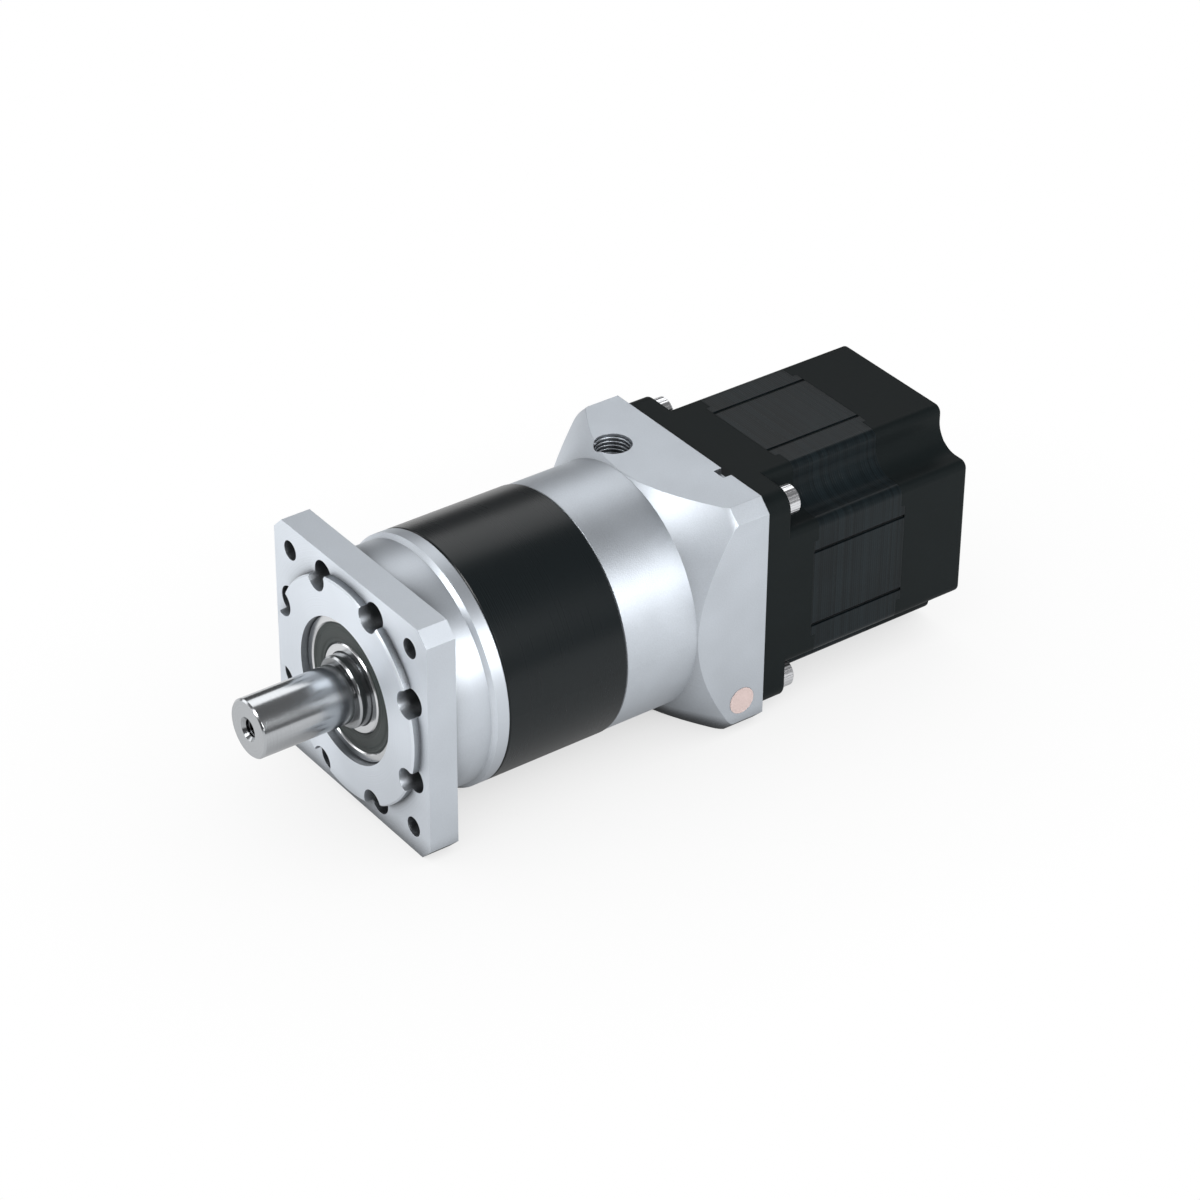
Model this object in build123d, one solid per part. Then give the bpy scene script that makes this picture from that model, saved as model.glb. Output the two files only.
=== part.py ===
from build123d import *
import os
from math import acos, cos, pi, radians, sin, sqrt, tan

# Planetary gearmotor: a single-stage planetary gearbox with a square flange, driven by a hybrid stepper motor.
# The origin is the centre of the flange's mounting face. The output shaft points along -Y, the motor lies
# along +Y, and +Z is the side with the clamp screw's access hole. All lengths are in millimetres.

# Clearances
seat_gap = 0.02  # radial, a ring or spigot seated in its bore
slip_gap = 0.05  # radial, the motor's pilot in the adapter
running_gap = 0.04  # radial, a bush turning on its pin
side_gap = 0.2  # axial, beside a part that turns
free_gap = 1.0  # radial, round a part that turns in an open bore
head_room = 0.3  # radial, round a sunk screw head

# Gearbox frame: the flange, the ring gear and the adapter are equally wide
frame_side = 60.0
spigot_length = 1.5  # the flange's and the adapter's, in the ends of the ring gear
joint_edge = 0.3  # chamfer on the edges where flange, ring gear and adapter meet

# Output flange
flange_thick = 7.4
flange_chamfer = 3.2
boss_r = 27.0
boss_high = 2.0
boss_edge = 0.4
mount_pitch = 47.14
mount_hole_r = 2.4
neck_step = 1.0  # radial, from the rim in to the neck
neck_length = 9.8
rim_length = 4.3

# Screws that hold the flange to the ring gear, M3 in deep counterbores that straddle the pilot boss's edge
flange_screw_count = 8
flange_screw_edge = 3.5  # from the rim in to the screws' circle
pocket_r = 3.3
pocket_depth = 6.0
m3_r = 1.5
m3_head_r = 2.75
m3_head_high = 3.0
m3_hex = 2.5
flange_screw_length = 22.0
tapped_extra = 2.0  # depth of a tapped hole past its screw

# Gears
module = 0.8
pressure_angle = 20.0
sun_teeth = 18
planet_teeth = 18
planet_count = 3
first_planet_angle = 90.0
addendum = 1.0  # of the module
dedendum = 1.25  # of the module
backlash = 0.08
flank_step = 0.1  # radial, from the base circle out to the first point of a flank
ring_overrun = 2.0  # of the ring gear's teeth past the planets, at each end
ring_relief = 0.4  # radial, from the ring gear's tooth roots to its plain ends
ring_length = 31.7

# Output shaft and planet carrier
shaft_r = 7.0
shaft_length = 23.7
shaft_chamfer = 0.4
journal_step = 3.1  # from the flange face out to the front of the bearing journal
centre_hole_r = 2.1
centre_hole_depth = 12.5
centre_sink_r = 2.9
carrier_r = 19.5
carrier_disc = 7.0
carrier_plate_thick = 6.0
plate_room = 2.0  # from the carrier's rear plate to the adapter's spigot
pin_floor = 1.5  # left in front of a pin in the carrier's disc
post_r = 3.5
post_edge = 0.5  # from a post's side to the carrier's rim
post_neck_r = 2.4
pin_r = 2.5
bush_wall = 1.5
washer_thick = 0.6
washer_r = 5.5

# Ball bearings, each by its bore radius, its outside radius and its width
front_bore_r = 8.5
front_out_r = 17.5
front_width = 10.0
front_ball_count = 10
rear_bore_r = 10.0
rear_out_r = 16.0
rear_width = 7.0
rear_ball_count = 12
input_bore_r = 7.5
input_out_r = 14.0
input_width = 7.0
input_ball_count = 10
motor_bore_r = 4.0
motor_out_r = 11.0
motor_width = 7.0
motor_ball_count = 7
rim_share = 0.24  # of a bearing's height in section, the thickness of each ring at its faces
shoulder_share = 0.33  # and beside its raceway
ball_share = 0.53  # and the diameter of its balls
bearing_edge = 0.3
ball_gap = 0.1
seal_thick = 0.8
seal_inset = 0.3
seal_lip_gap = 0.1

# What holds the bearings in the gearbox
front_bearing_inset = 1.7
shoulder_step = 1.5  # radial, a shoulder that a bearing's ring butts against
shoulder_lip = 2.0
snap_ring_thick = 1.1
snap_ring_grip = 0.7
snap_ring_height = 2.0  # radial, from the bearing's outside in to the ring's free edge
snap_ring_gap = 2.4
snap_lug_angle = 15.0
snap_lug_r = 1.8
snap_lug_hole_r = 0.8

# Motor adapter
adapter_chamfer = 3.14
adapter_length = 38.8
band_step = 0.2  # radial, from the ring gear in to the adapter's band
band_length = 19.4
cone_angle = 46.0
cone_round = 5.0
cone_overreach = 0.4  # of the cone's round past the square's cut corners
cavity_r = 18.0
bearing_lip = 2.8
input_seat_extra = 3.0  # of the input bearing's bore, past the bearing
pilot_room = 0.1  # axial, in front of the motor's pilot
access_x = -10.2
access_back = 13.6  # from the adapter's rear face forward to the access hole
access_r = 4.45
adapter_screw_count = 4
adapter_screw_edge = 4.5  # from the ring gear's outside in to the screws' circle
adapter_seat = 7.0  # from the adapter's front face to the heads' seats
adapter_screw_length = 16.0
m4_r = 2.0
m4_head_r = 3.5
m4_head_high = 4.0
m4_hex = 3.0
notch_x = 14.2
notch_width = 3.6
notch_depth = 2.25
notch_drop = 1.6

# Clamp hub
hub_shoulder_r = 9.0
hub_shoulder_length = 2.0
hub_slit = 1.5
hub_gap = 3.0  # from the hub's rear end to the motor's pilot
hub_bore_extra = 1.0  # past the motor shaft's end
collar_r = 16.0
collar_width = 12.0
collar_slit = 1.6
clamp_head_seat = 5.5
clamp_screw_length = 13.5
clamp_tap_extra = 0.5  # depth of its tapped hole past the screw

# Motor
mount_edge = 4.53  # from the mounting screws out to the motor's side
motor_plate_round = 4.5
motor_plate_thick = 7.7
motor_hole_r = 2.2
motor_pilot_r = 19.05
motor_pilot_high = 1.6
motor_shaft_r = 4.0
motor_shaft_reach = 21.0
motor_screw_length = 16.0
notch_room = 1.97  # between a mounting screw's head and the stepped corner beside it
notch_inner_round = 6.0
notch_outer_round = 2.0
front_cap_length = 16.3
stator_length = 24.2
rear_cap_length = 19.7
tongue_half = 12.8
tongue_length = 1.2
groove_x = 10.0
groove_width = 0.9
groove_depth = 0.5
rear_round = 0.8
cavity_step = 0.3  # radial, from the stator's slots out to the caps' hollows
bearing_wall = 5.2  # cap face to bearing, front
rear_bearing_floor = 5.0
tie_inset = 0.5  # from the stepped corners in to the tie screws' axes
tie_wall = 2.29  # from the tie screws' axes in to the stator's slots
tie_head_sunk = 4.0
tie_reach = 8.0  # thread engaged in the front cap
tie_tap_extra = 1.0
pole_count = 8
pole_stem = 5.0
pole_shoe = 1.6
pole_shoe_angle = 34.0
shoe_slots = 4
shoe_tooth_depth = 0.7
air_gap = 0.3
rotor_teeth = 50
rotor_tooth_depth = 0.8
rotor_slot = 1.2
shaft_tail = 1.0  # of the motor's shaft past its rear bearing
tail_room = 1.5
cup_length = 9.5
magnet_length = 2.6
magnet_inset = 1.0
coil_deep = 2.1  # radial
coil_side = 1.5  # beside the pole
coil_gap = 0.2  # radial, between a coil and its pole's shoe
slot_room = 0.4  # radial, outside the coils
coil_overhang = 2.0
coil_room = 0.9  # from the coils to the front cap
wave_washer_thick = 0.8
wave_washer_step = 0.4  # radial, from the bearing's outside in to the washer
wave_washer_bore_r = 7.0
board_thick = 1.2
board_gap = 1.4  # from the coils to the board
board_bore_r = 12.5
lead_slot = 13.0
lead_slot_high = 3.4
lead_slot_wall = 0.6
lead_lip = 0.8
lead_slot_extra = 1.0  # of the slot's cut past the cap's inner wall

# Inspection sticker
sticker_r = 3.35
sticker_thick = 0.08
sticker_back = 6.2  # from the adapter's rear face forward to the sticker's centre
sticker_rise = 8.8  # from the adapter's lower face up to it

# Radii that follow the frame
outer_r = frame_side / 2
neck_r = outer_r - neck_step
band_r = outer_r - band_step
flange_screw_circle_r = outer_r - flange_screw_edge
adapter_screw_circle_r = outer_r - adapter_screw_edge

# Sizes across the motor
mount_half = mount_pitch / 2
motor_side = mount_pitch + 2 * mount_edge
waist_half = mount_half - m4_head_r - notch_room
tie_half = waist_half - tie_inset
slot_r = tie_half * sqrt(2) - tie_wall
cap_cavity_r = slot_r + cavity_step
coil_inner_r = slot_r - slot_room - coil_deep
stator_bore_r = coil_inner_r - coil_gap - pole_shoe
rotor_r = stator_bore_r - air_gap

# Places along the shaft
rim_rear = flange_thick + neck_length + rim_length
ring_rear = rim_rear + ring_length
adapter_rear = ring_rear + adapter_length
motor_body = adapter_rear + motor_plate_thick
stator_front = adapter_rear + front_cap_length
stator_rear = stator_front + stator_length
motor_rear = stator_rear + rear_cap_length
ring_teeth = sun_teeth + 2 * planet_teeth
orbit_r = module * (sun_teeth + planet_teeth) / 2
ring_root_r = module * (ring_teeth / 2 + dedendum)
ring_end_r = ring_root_r + ring_relief
front_bearing_y = front_bearing_inset - boss_high
front_bearing_end = front_bearing_y + front_width
rear_bearing_y = front_bearing_end + shoulder_lip
rear_bearing_end = rear_bearing_y + rear_width
disc_front = rear_bearing_end + 2 * side_gap
disc_rear = disc_front + carrier_disc
planet_front = disc_rear + washer_thick + side_gap
plate_rear = ring_rear - spigot_length - plate_room
plate_front = plate_rear - carrier_plate_thick
planet_rear = plate_front - washer_thick - side_gap
input_bearing_y = ring_rear + bearing_lip
input_bearing_end = input_bearing_y + input_width
access_y = adapter_rear - access_back
hub_rear = adapter_rear - motor_pilot_high - hub_gap
motor_tip = adapter_rear - motor_shaft_reach
motor_front_bearing_y = adapter_rear + bearing_wall
motor_rear_bearing_end = motor_rear - rear_bearing_floor - wave_washer_thick
motor_rear_bearing_y = motor_rear_bearing_end - motor_width
coil_front = stator_front - tongue_length - coil_overhang
coil_rear = stator_rear + tongue_length + coil_overhang
board_rear = coil_rear + board_gap + board_thick


def across(y):
    """The plane across the shaft at y, seen from the front: local x is X and local y is Z."""
    return Plane(origin=(0, y, 0), x_dir=(1, 0, 0), z_dir=(0, -1, 0))


def slab(sketch, y0, y1):
    """A sketch drawn as seen from the front, made solid from y0 to y1."""
    return extrude(across(y1) * sketch, amount=y1 - y0)


def turned(*points):
    """A solid of revolution about the shaft axis, from (radius, y) corners."""
    return revolve(make_face(Polyline(*points, close=True)), Axis.Y)


def tube(r_out, r_in, y0, y1):
    """A plain ring."""
    return turned((r_in, y0), (r_out, y0), (r_out, y1), (r_in, y1))


def rod(r, y0, y1):
    """A plain round bar on the shaft axis."""
    return slab(Circle(r), y0, y1)


def corners(half):
    """The four corner places of a square hole pattern."""
    return GridLocations(2 * half, 2 * half, 2, 2)


def flange_screw_places():
    """The eight places of the flange's screws, halfway between the flange's sides and corners."""
    return PolarLocations(flange_screw_circle_r, flange_screw_count, 180 / flange_screw_count)


def adapter_screw_places():
    """The places of the screws that hold the adapter to the ring gear."""
    return PolarLocations(adapter_screw_circle_r, adapter_screw_count)


def planet_places():
    """The places of the planet pins."""
    return PolarLocations(orbit_r, planet_count, first_planet_angle)


def post_places():
    """The places of the carrier's posts, halfway between the planets."""
    return PolarLocations(carrier_r - post_edge - post_r, planet_count, first_planet_angle + 180 / planet_count)


def discs(places, r):
    """One sketch with a disc at each place."""
    return Sketch() + places * Circle(r)


def parts(pieces):
    """Several separate solids as one node."""
    return Compound(children=[solid for piece in pieces for solid in piece.solids()])


def cap_screw(r, head_r, head_high, hex_across, length):
    """A socket head cap screw: the seat of its head lies on XY and its shank runs down -Z."""
    head = Pos(Z=head_high / 2) * Cylinder(head_r, head_high)
    head = chamfer(head.edges().sort_by(Axis.Z)[-1], head_high / 10)
    socket = extrude(Plane.XY.offset(head_high) * RegularPolygon(hex_across / 2, 6, major_radius=False),
                     amount=-head_high / 2)
    return head - socket + Pos(Z=-length / 2) * Cylinder(r, length)


def screws_across(screw, places, seat_y, toward_front=True):
    """A screw at each place of a pattern across the shaft, its head seated at seat_y."""
    turn = 90 if toward_front else -90
    return parts([Pos(place.position.X, seat_y, place.position.Y) * Rot(X=turn) * screw for place in places])


def involute(angle):
    """The involute function, in radians."""
    return tan(angle) - angle


def tooth_half_angle(r, teeth, play):
    """Half the angle in radians that a tooth spans at radius r, with play added at the pitch line."""
    pitch_r = module * teeth / 2
    slope = radians(pressure_angle)
    base_r = pitch_r * cos(slope)
    at_r = acos(min(base_r / r, 1.0))
    return pi / (2 * teeth) + play / (2 * pitch_r) + involute(slope) - involute(at_r)


def toothed(teeth, root_r, tip_r, play, phase):
    """The outline of a gear, or of a ring gear's bore, with involute flanks drawn as a few straight lines."""
    base_r = module * teeth / 2 * cos(radians(pressure_angle))
    flank = [root_r, max(root_r, base_r) + flank_step, module * teeth / 2, tip_r]
    points = []
    for k in range(teeth):
        middle = radians(phase) + 2 * pi * k / teeth
        rising = [(r, middle - tooth_half_angle(r, teeth, play)) for r in flank]
        falling = [(r, middle + tooth_half_angle(r, teeth, play)) for r in reversed(flank)]
        points += [(r * cos(a), r * sin(a)) for r, a in rising + falling]
    return make_face(Polyline(*points, close=True))


def bearing_ring(fit_r, rim_r, shoulder_r, width, y, race):
    """One ring of a bearing, turned with broken edges, a recess for a seal at each face, and a raceway."""
    rim = Pos((fit_r + rim_r) / 2, y + width / 2) * Rectangle(abs(fit_r - rim_r), width)
    rim = chamfer(rim.vertices(), bearing_edge)
    recess = seal_inset + seal_thick + side_gap
    middle = Rectangle(abs(fit_r - shoulder_r), width - 2 * recess)
    middle = Pos((fit_r + shoulder_r) / 2, y + width / 2) * middle
    return revolve(rim + middle - race, Axis.Y)


def bearing_rings(bore_r, out_r, width, y):
    """The outer and inner rings of a ball bearing whose front face is at y."""
    height = out_r - bore_r
    rim = rim_share * height
    shoulder = shoulder_share * height
    race = Pos((bore_r + out_r) / 2, y + width / 2) * Circle(ball_share * height / 2 + ball_gap)
    outer = bearing_ring(out_r - seat_gap, out_r - rim, out_r - shoulder, width, y, race)
    inner = bearing_ring(bore_r + seat_gap / 2, bore_r + rim, bore_r + shoulder, width, y, race)
    return outer, inner


def ball_set(bore_r, out_r, width, y, count):
    """A bearing's balls, evenly spaced, each drawn as 26 flat faces with their corners on the ball."""
    facet = ball_share * (out_r - bore_r) / sqrt(5 + 2 * sqrt(2))
    side = facet * (1 + sqrt(2))
    ball = chamfer(Box(side, side, side).edges(), facet / sqrt(2))
    ball = Pos((bore_r + out_r) / 2, y + width / 2, 0) * ball
    return parts([Rot(Y=360 * k / count) * ball for k in range(count)])


def bearing_seals(bore_r, out_r, width, y):
    """The two rubber seals pressed into a bearing's outer ring, just clear of its inner ring."""
    rim = rim_share * (out_r - bore_r)
    faces = (y + seal_inset, y + width - seal_inset - seal_thick)
    return parts([tube(out_r - rim - seat_gap, bore_r + rim + seal_lip_gap, front, front + seal_thick)
                  for front in faces])


def motor_outline():
    """The motor's square with a rounded step at each corner that leaves room for the mounting screws."""
    outline = Rectangle(motor_side, 2 * waist_half) + Rectangle(2 * waist_half, motor_side)
    outline = fillet(outline.vertices().sort_by_distance((0, 0, 0))[:4], notch_inner_round)
    return fillet(outline.vertices().sort_by_distance((0, 0, 0))[-8:], notch_outer_round)


def output_flange():
    """The square mounting flange with its pilot boss, and the round neck and rim that close the gearbox."""
    plate = slab(Rectangle(frame_side, frame_side), 0, flange_thick)
    plate = chamfer(plate.edges().filter_by(Axis.Y), flange_chamfer)
    end = rim_rear + spigot_length
    round_part = turned((0, -boss_high), (boss_r - boss_edge, -boss_high), (boss_r, boss_edge - boss_high),
                        (boss_r, flange_thick), (neck_r, flange_thick), (neck_r, flange_thick + neck_length),
                        (outer_r, flange_thick + neck_length + neck_step), (outer_r, rim_rear - joint_edge),
                        (outer_r - joint_edge, rim_rear), (ring_end_r - seat_gap, rim_rear),
                        (ring_end_r - seat_gap, end), (0, end))
    bore = turned((0, -boss_high), (front_out_r, -boss_high), (front_out_r, front_bearing_end),
                  (rear_out_r - shoulder_step, front_bearing_end), (rear_out_r - shoulder_step, rear_bearing_y),
                  (rear_out_r, rear_bearing_y), (rear_out_r, rear_bearing_end),
                  (carrier_r + free_gap, rear_bearing_end), (carrier_r + free_gap, end), (0, end))
    circle = flange_screw_places()
    pockets = slab(discs(circle, pocket_r), -boss_high, pocket_depth)
    screw_holes = slab(discs(circle, m3_r + slip_gap), pocket_depth, end)
    mount_holes = slab(discs(corners(mount_half), mount_hole_r), 0, flange_thick)
    return plate + round_part - bore - pockets - screw_holes - mount_holes


def ring_gear():
    """The black ring gear: internal teeth, plain ends, and tapped holes for both sets of screws."""
    blank = turned((ring_end_r, rim_rear), (outer_r - joint_edge, rim_rear), (outer_r, rim_rear + joint_edge),
                   (outer_r, ring_rear - joint_edge), (outer_r - joint_edge, ring_rear),
                   (ring_end_r, ring_rear))
    tip_r = module * (ring_teeth / 2 - addendum)
    teeth = Circle(ring_end_r) - toothed(ring_teeth, tip_r, ring_root_r, backlash, first_planet_angle)
    front_holes = slab(discs(flange_screw_places(), m3_r), rim_rear,
                       pocket_depth + flange_screw_length + tapped_extra)
    rear_holes = slab(discs(adapter_screw_places(), m3_r),
                      ring_rear + adapter_seat - adapter_screw_length - tapped_extra, ring_rear)
    toothed_part = slab(teeth, planet_front - ring_overrun, planet_rear + ring_overrun)
    return blank + toothed_part - front_holes - rear_holes


def motor_adapter():
    """The adapter: a round band, a cone that grows into a square with cut corners, and the clamp cavity."""
    square = slab(Rectangle(frame_side, frame_side), ring_rear, adapter_rear)
    square = chamfer(square.edges().filter_by(Axis.Y), adapter_chamfer)
    cone_y = ring_rear + band_length
    reach = frame_side / 2 * sqrt(2) - adapter_chamfer / sqrt(2) + cone_overreach
    cone_end = cone_y + (reach - band_r) / tan(radians(cone_angle))
    profile = Polyline((0, ring_rear), (band_r - joint_edge, ring_rear), (band_r, ring_rear + joint_edge),
                       (band_r, cone_y), (reach, cone_end), (reach, adapter_rear), (0, adapter_rear),
                       close=True)
    face = make_face(profile)
    shoulder = face.vertices().group_by(Axis.X)[-1].sort_by(Axis.Y)[0]
    body = square & revolve(fillet(shoulder, cone_round), Axis.Y)
    front = ring_rear - spigot_length
    spigot = tube(ring_end_r - seat_gap, input_out_r - shoulder_step, front, ring_rear)
    groove_y = input_bearing_end + side_gap
    seat_end = input_bearing_end + input_seat_extra
    pilot_y = adapter_rear - motor_pilot_high - pilot_room
    groove_r = input_out_r + snap_ring_grip
    groove_end = groove_y + snap_ring_thick
    bore = turned((0, front), (input_out_r - shoulder_step, front),
                  (input_out_r - shoulder_step, input_bearing_y),
                  (input_out_r, input_bearing_y), (input_out_r, groove_y), (groove_r, groove_y),
                  (groove_r, groove_end), (input_out_r, groove_end), (input_out_r, seat_end), (cavity_r, seat_end),
                  (cavity_r, pilot_y), (motor_pilot_r + slip_gap, pilot_y),
                  (motor_pilot_r + slip_gap, adapter_rear), (0, adapter_rear))
    access = Pos(access_x, access_y, 0) * extrude(Circle(access_r), amount=frame_side)
    circle = adapter_screw_places()
    pockets = slab(discs(circle, m3_head_r + head_room), ring_rear + adapter_seat, adapter_rear)
    screw_holes = slab(discs(circle, m3_r + slip_gap), front, ring_rear + adapter_seat)
    motor_holes = slab(discs(corners(mount_half), m4_r),
                       motor_body - motor_screw_length - tapped_extra, adapter_rear)
    notch = Pos(notch_x, adapter_rear - notch_depth / 2, frame_side / 2 - notch_drop / 2) * Box(
        notch_width, notch_depth, notch_drop)
    return body + spigot - bore - access - pockets - screw_holes - motor_holes - notch


def output_shaft():
    """The output shaft, in one piece with the planet carrier's front disc and the posts for its rear plate."""
    tip = -journal_step - shaft_length
    shaft = turned((0, tip), (shaft_r - shaft_chamfer, tip), (shaft_r, tip + shaft_chamfer),
                   (shaft_r, -journal_step),
                   (front_bore_r - shaft_chamfer, -journal_step), (front_bore_r, shaft_chamfer - journal_step),
                   (front_bore_r, front_bearing_end), (rear_bore_r, front_bearing_end),
                   (rear_bore_r, rear_bearing_end),
                   (rear_bore_r + shoulder_step, rear_bearing_end), (rear_bore_r + shoulder_step, disc_front),
                   (carrier_r, disc_front), (carrier_r, disc_rear), (0, disc_rear))
    sink = centre_sink_r - centre_hole_r
    centre = turned((0, tip), (centre_sink_r, tip), (centre_hole_r, tip + sink),
                    (centre_hole_r, tip + centre_hole_depth), (0, tip + centre_hole_depth + centre_hole_r))
    pin_holes = slab(discs(planet_places(), pin_r), disc_front + pin_floor, disc_rear)
    posts = slab(discs(post_places(), post_r), disc_rear, plate_front)
    necks = slab(discs(post_places(), post_neck_r), plate_front, plate_rear)
    return shaft - centre - pin_holes + posts + necks


def carrier_plate():
    """The rear plate of the planet carrier, pressed on the posts and the planet pins round the sun gear."""
    plate = Circle(carrier_r) - Circle(module * (sun_teeth / 2 + addendum) + free_gap)
    plate -= discs(post_places(), post_neck_r)
    plate -= discs(planet_places(), pin_r)
    return slab(plate, plate_front, plate_rear)


def planet_pins():
    """The pins that the planets turn on, pressed into both halves of the carrier."""
    return parts([slab(place * Circle(pin_r), disc_front + pin_floor, plate_rear) for place in planet_places()])


def planet_washers():
    """A thrust washer on each pin at both ends of its planet."""
    ring = Circle(washer_r) - Circle(pin_r + seat_gap)
    faces = ((disc_rear, disc_rear + washer_thick), (plate_front - washer_thick, plate_front))
    return parts([slab(Pos(place.position) * ring, y0, y1) for place in planet_places() for y0, y1 in faces])


def at_planet(angle, section):
    """A section moved to the planet at this angle, made as long as the planets."""
    place = Pos(orbit_r * cos(radians(angle)), orbit_r * sin(radians(angle)))
    return slab(place * section, planet_front, planet_rear)


def planet_gear(angle):
    """One planet gear, with a tooth pointing straight out at the ring gear."""
    root_r = module * (planet_teeth / 2 - dedendum)
    tip_r = module * (planet_teeth / 2 + addendum)
    bore_r = pin_r + running_gap + bush_wall + seat_gap
    outline = toothed(planet_teeth, root_r, tip_r, -backlash, angle) - Circle(bore_r)
    return at_planet(angle, outline)


def planet_bush(angle):
    """The bronze bush pressed into one planet gear."""
    return at_planet(angle, Circle(pin_r + running_gap + bush_wall) - Circle(pin_r + running_gap))


def sun_gear():
    """The sun gear in one piece with the slotted hub that takes the motor's shaft."""
    root_r = module * (sun_teeth / 2 - dedendum)
    tip_r = module * (sun_teeth / 2 + addendum)
    half_tooth = 180 / sun_teeth
    teeth = toothed(sun_teeth, root_r, tip_r, -backlash, first_planet_angle + half_tooth)
    shoulder_y = input_bearing_y - hub_shoulder_length
    hub = turned((0, plate_rear), (root_r, plate_rear), (root_r, shoulder_y), (hub_shoulder_r, shoulder_y),
                 (hub_shoulder_r, input_bearing_y), (input_bore_r, input_bearing_y), (input_bore_r, hub_rear),
                 (0, hub_rear))
    bore = rod(motor_shaft_r + seat_gap / 2, motor_tip - hub_bore_extra, hub_rear)
    slit = Pos(0, (motor_tip + hub_rear) / 2, 0) * Box(2 * input_bore_r, hub_rear - motor_tip, hub_slit)
    return slab(teeth, planet_front, plate_rear) + hub - bore - slit


def clamp_collar():
    """The split collar that squeezes the hub on the motor's shaft, slit beside its clamp screw."""
    collar = tube(collar_r, input_bore_r + seat_gap, access_y - collar_width / 2, access_y + collar_width / 2)
    slit = Pos(-collar_r, access_y, 0) * Box(2 * (collar_r - motor_shaft_r), collar_width, collar_slit)
    head = Pos(access_x, access_y, clamp_head_seat) * extrude(Circle(m4_head_r + head_room), amount=collar_r)
    tapped = Pos(access_x, access_y, clamp_head_seat) * extrude(
        Circle(m4_r), amount=-clamp_screw_length - clamp_tap_extra)
    return collar - slit - head - tapped


def snap_ring(r_grip, r_free, y):
    """An internal retaining ring, from its grip in the groove in to its free edge, with two pierced lugs."""
    lugs = [Rot(Z=turn) * Pos(0, -r_free) for turn in (-snap_lug_angle, snap_lug_angle)]
    ring = Circle(r_grip) - Circle(r_free) + [lug * Circle(snap_lug_r) for lug in lugs]
    ring -= [lug * Circle(snap_lug_hole_r) for lug in lugs]
    gap = Pos(0, -r_free) * Rectangle(snap_ring_gap, 2 * (r_grip - r_free + snap_lug_r))
    return slab(ring - gap, y, y + snap_ring_thick)


def motor_front_cap():
    """The motor's front end: pilot, square plate, and a body with stepped corners that meets the stator."""
    plate = slab(RectangleRounded(motor_side, motor_side, motor_plate_round), adapter_rear, motor_body)
    body = slab(motor_outline(), motor_body, stator_front)
    cap = plate + body + rod(motor_pilot_r, adapter_rear - motor_pilot_high, adapter_rear)
    cap -= stator_tongue(stator_front - tongue_length, stator_front)
    bearing_end = motor_front_bearing_y + motor_width
    hole_r = motor_shaft_r + free_gap
    hollow = turned((0, adapter_rear - motor_pilot_high), (hole_r, adapter_rear - motor_pilot_high),
                    (hole_r, motor_front_bearing_y), (motor_out_r, motor_front_bearing_y),
                    (motor_out_r, bearing_end), (cap_cavity_r, coil_front - coil_room),
                    (cap_cavity_r, stator_front), (0, stator_front))
    holes = slab(discs(corners(mount_half), motor_hole_r), adapter_rear, motor_body)
    ties = slab(discs(corners(tie_half), m3_r), stator_front - tie_reach - tie_tap_extra, stator_front)
    return cap - hollow - holes - ties


def stator_tongue(y0, y1):
    """The cross-shaped part of the stator's section that reaches past its corners, between y0 and y1."""
    cross = Rectangle(2 * tongue_half, motor_side) + Rectangle(motor_side, 2 * tongue_half)
    return slab(cross, y0, y1)


def weld_grooves():
    """The section of the eight grooves that hold the laminations' weld seams, two on each side."""
    groove = Pos(Y=motor_side / 2 - groove_depth / 2) * Rectangle(groove_width, groove_depth)
    return Sketch() + [Rot(Z=90 * side) * Pos(x) * groove for side in range(4) for x in (-groove_x, groove_x)]


def stator_poles():
    """The section of the stator's poles: a stem with a wide shoe, toothed like the rotor."""
    pitch = 360 / rotor_teeth
    half_wide = slot_r * tan(radians(pole_shoe_angle / 2))
    root_r = slot_r + slot_room
    stem = Pos((stator_bore_r + root_r) / 2) * Rectangle(root_r - stator_bore_r, pole_stem)
    wedge = make_face(Polyline((0, 0), (slot_r, -half_wide), (slot_r, half_wide), close=True))
    slots = PolarLocations(stator_bore_r, shoe_slots, (1 - shoe_slots) / 2 * pitch, shoe_slots * pitch)
    pole = stem + (wedge & Circle(stator_bore_r + pole_shoe))
    pole -= Sketch() + slots * Rectangle(2 * shoe_tooth_depth, rotor_slot)
    return Sketch() + PolarLocations(0, pole_count) * pole


def stator_laminations():
    """The stack of stator laminations, with weld grooves outside and wound poles inside."""
    y0 = stator_front - tongue_length
    y1 = stator_rear + tongue_length
    stack = slab(motor_outline(), stator_front, stator_rear)
    stack += stator_tongue(y0, stator_front)
    stack += stator_tongue(stator_rear, y1)
    opening = Circle(slot_r) - stator_poles() + Circle(stator_bore_r)
    ties = discs(corners(tie_half), m3_r + slip_gap)
    return stack - slab(weld_grooves(), y0, y1) - slab(opening, y0, y1) - slab(ties, y0, y1)


def stator_windings():
    """A coil round each pole, standing a little proud of the laminations at both ends."""
    stack = stator_length + 2 * tongue_length
    coil = Box(coil_deep, stack + 2 * coil_overhang, pole_stem + 2 * coil_side)
    coil -= Box(coil_deep, stack + 2 * slip_gap, pole_stem + 2 * slip_gap)
    coil = Pos(coil_inner_r + coil_deep / 2, (coil_front + coil_rear) / 2, 0) * coil
    return parts([Rot(Y=360 / pole_count * k) * coil for k in range(pole_count)])


def rotor_cup(turn, y0, y1):
    """One of the rotor's toothed iron cups, turned by a share of its tooth pitch."""
    slots = PolarLocations(rotor_r, rotor_teeth, 360 / rotor_teeth * turn)
    section = Circle(rotor_r) - (Sketch() + slots * Rectangle(2 * rotor_tooth_depth, rotor_slot))
    return slab(section - Circle(motor_shaft_r + seat_gap / 2), y0, y1)


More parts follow.
